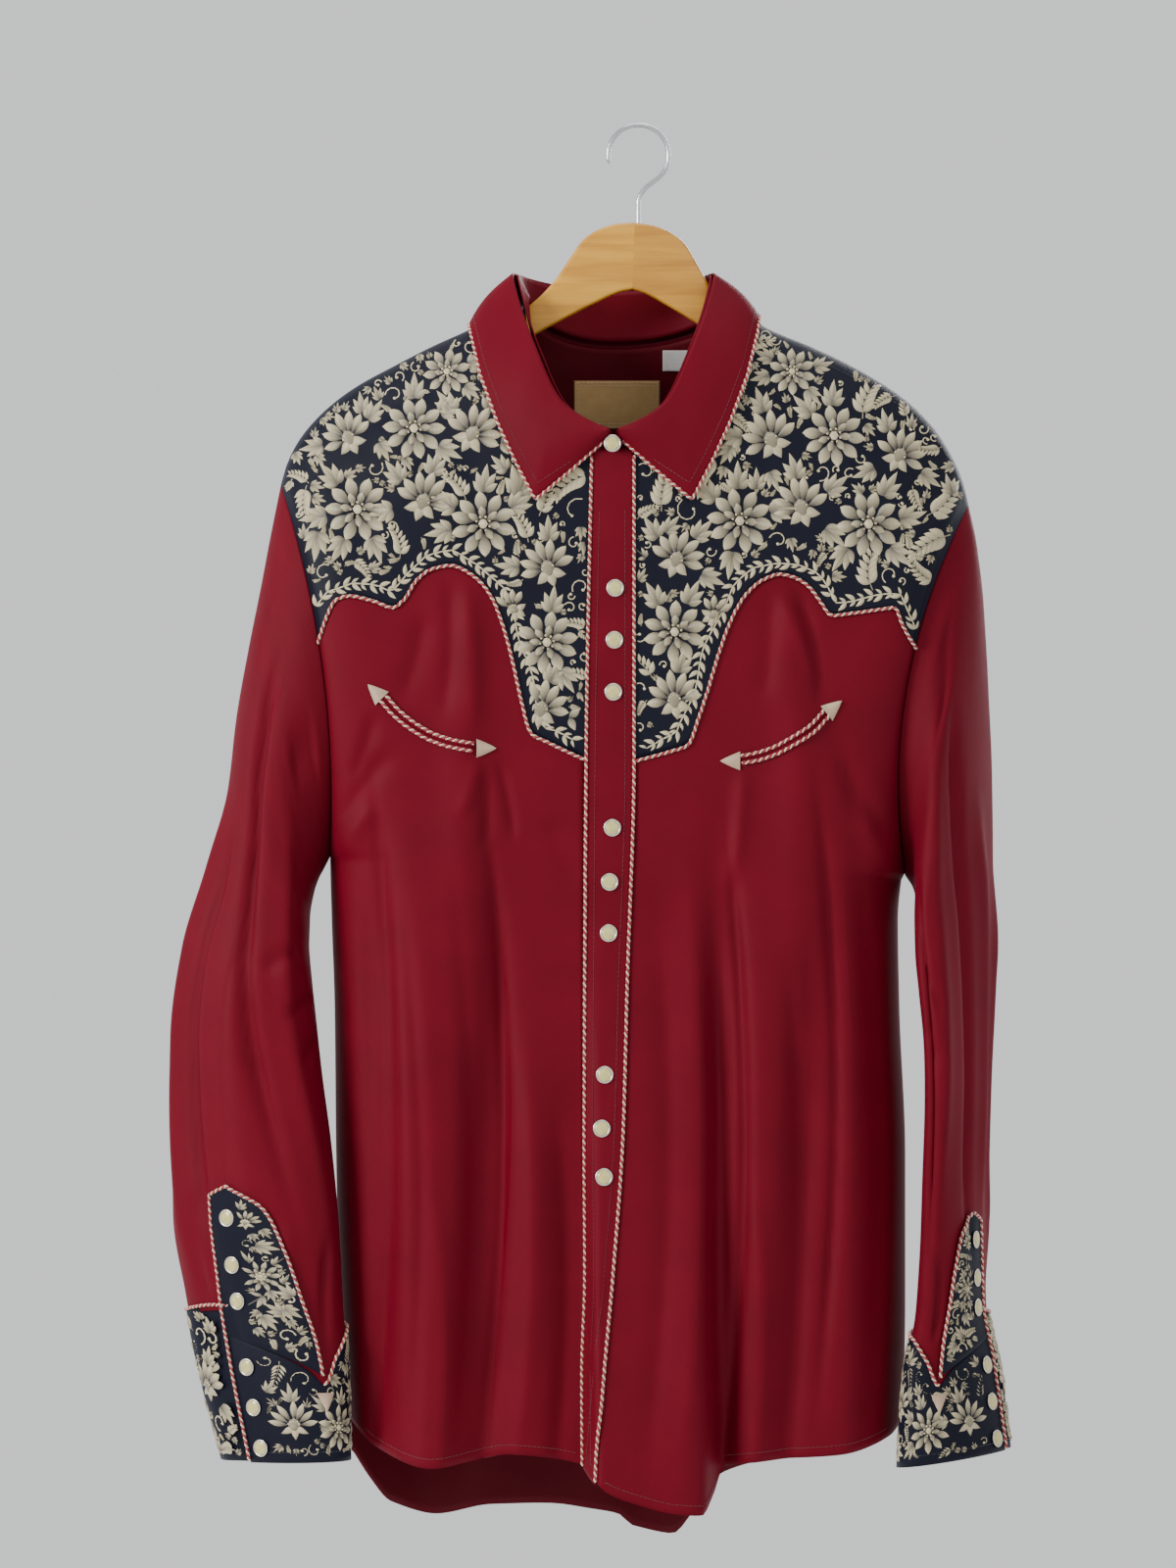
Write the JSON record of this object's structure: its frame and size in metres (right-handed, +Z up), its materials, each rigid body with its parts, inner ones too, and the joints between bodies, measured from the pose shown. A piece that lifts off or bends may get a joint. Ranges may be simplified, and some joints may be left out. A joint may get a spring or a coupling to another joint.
{
  "type": "western snap shirt on a wooden hanger",
  "caption": "Long-sleeved red and navy western shirt with scalloped yokes, smile pockets, pearl snaps and corded seams, hanging closed on a wooden hanger with a wire hook.",
  "frame": {"origin": "inside top of the hanger's hook, where a rail carries it", "axes": "+Z up, -Y out of the shirt's front, +X to the right of somebody who looks at the front"},
  "size_m": [0.5709, 0.1795, 0.9681],
  "materials": {
    "red_cloth": "crimson twill, slight sheen",
    "navy_cloth": "navy satin twill",
    "cord": "two-ply cream and red cord",
    "thread": "cream satin stitch",
    "pearl": "pale pearl with a metal rim",
    "wood": "honey birch, clear lacquer",
    "metal": "plated wire",
    "label_tan": "woven patch, blank",
    "tag_white": "woven tape, blank"
  },
  "bodies": {
    "root": {"arrow_cuff_left": "thread", "arrow_cuff_right": "thread", "arrow_left_inner": "thread", "arrow_left_outer": "thread", "arrow_right_inner": "thread", "arrow_right_outer": "thread", "back": "red_cloth", "back_yoke": "navy_cloth", "back_yoke_cord": "cord", "back_yoke_lining": "red_cloth", "collar_cord": "cord", "collar_leaf": "red_cloth", "collar_stand": "red_cloth", "cuff_cord_left": "cord", "cuff_cord_right": "cord", "cuff_left": "navy_cloth", "cuff_right": "navy_cloth", "front_left": "red_cloth", "front_right": "red_cloth", "front_yoke_left": "navy_cloth", "front_yoke_right": "navy_cloth", "gauntlet_cord_left": "cord", "gauntlet_cord_right": "cord", "gauntlet_left": "navy_cloth", "gauntlet_right": "navy_cloth", "hanger": "wood", "hook": "metal", "neck_label": "label_tan", "placket": "red_cloth", "placket_cord_left": "cord", "placket_cord_right": "cord", "pocket_left": "red_cloth", "pocket_right": "red_cloth", "size_tag": "tag_white", "sleeve_left": "red_cloth", "sleeve_right": "red_cloth", "snap_front_01": "pearl", "snap_front_02": "pearl", "snap_front_03": "pearl", "snap_front_04": "pearl", "snap_front_05": "pearl", "snap_front_06": "pearl", "snap_front_07": "pearl", "snap_front_08": "pearl", "snap_front_09": "pearl", "snap_front_10": "pearl", "snap_left_1": "pearl", "snap_left_2": "pearl", "snap_left_3": "pearl", "snap_left_4": "pearl", "snap_left_5": "pearl", "snap_left_6": "pearl", "snap_right_1": "pearl", "snap_right_2": "pearl", "snap_right_3": "pearl", "snap_right_4": "pearl", "snap_right_5": "pearl", "snap_right_6": "pearl", "yoke_cord_left": "cord", "yoke_cord_right": "cord"}
  },
  "joints": []
}
